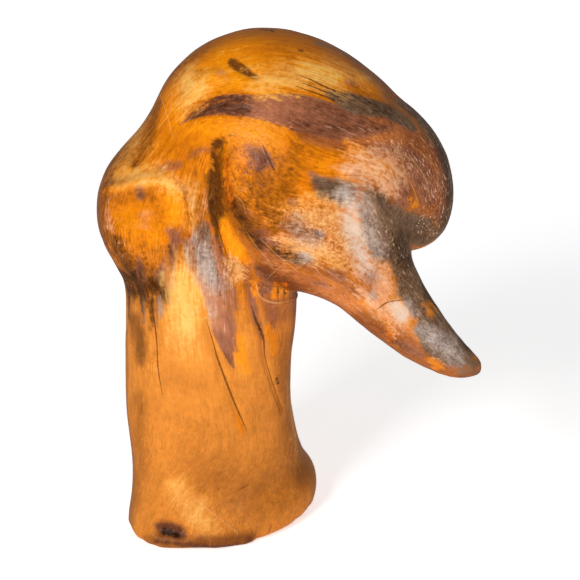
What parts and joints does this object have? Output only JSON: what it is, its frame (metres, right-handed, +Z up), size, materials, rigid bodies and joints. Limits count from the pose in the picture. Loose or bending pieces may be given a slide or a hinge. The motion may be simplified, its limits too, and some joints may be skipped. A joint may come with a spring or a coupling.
{
  "type": "driftwood duck sculpture",
  "caption": "Duck's head and neck in one piece of sanded tree root: a round burl head, a tapered bill that points down, and a thick neck that stands on its sawn foot.",
  "frame": {"origin": "on the sawn underside of the foot, under the neck and within 6 mm of the foot's middle", "axes": "+Z up along the neck, +X towards the bill's end of the head, -Y out of the side that the jaw and bill stand off on"},
  "size_m": [0.1815, 0.1094, 0.245],
  "materials": {
    "oiled_root_wood": "sanded and varnished root wood, amber to orange, with purple-brown and grey-black stains on brow and bill"
  },
  "bodies": {
    "root": {"driftwood_duck": "oiled_root_wood"}
  },
  "joints": []
}
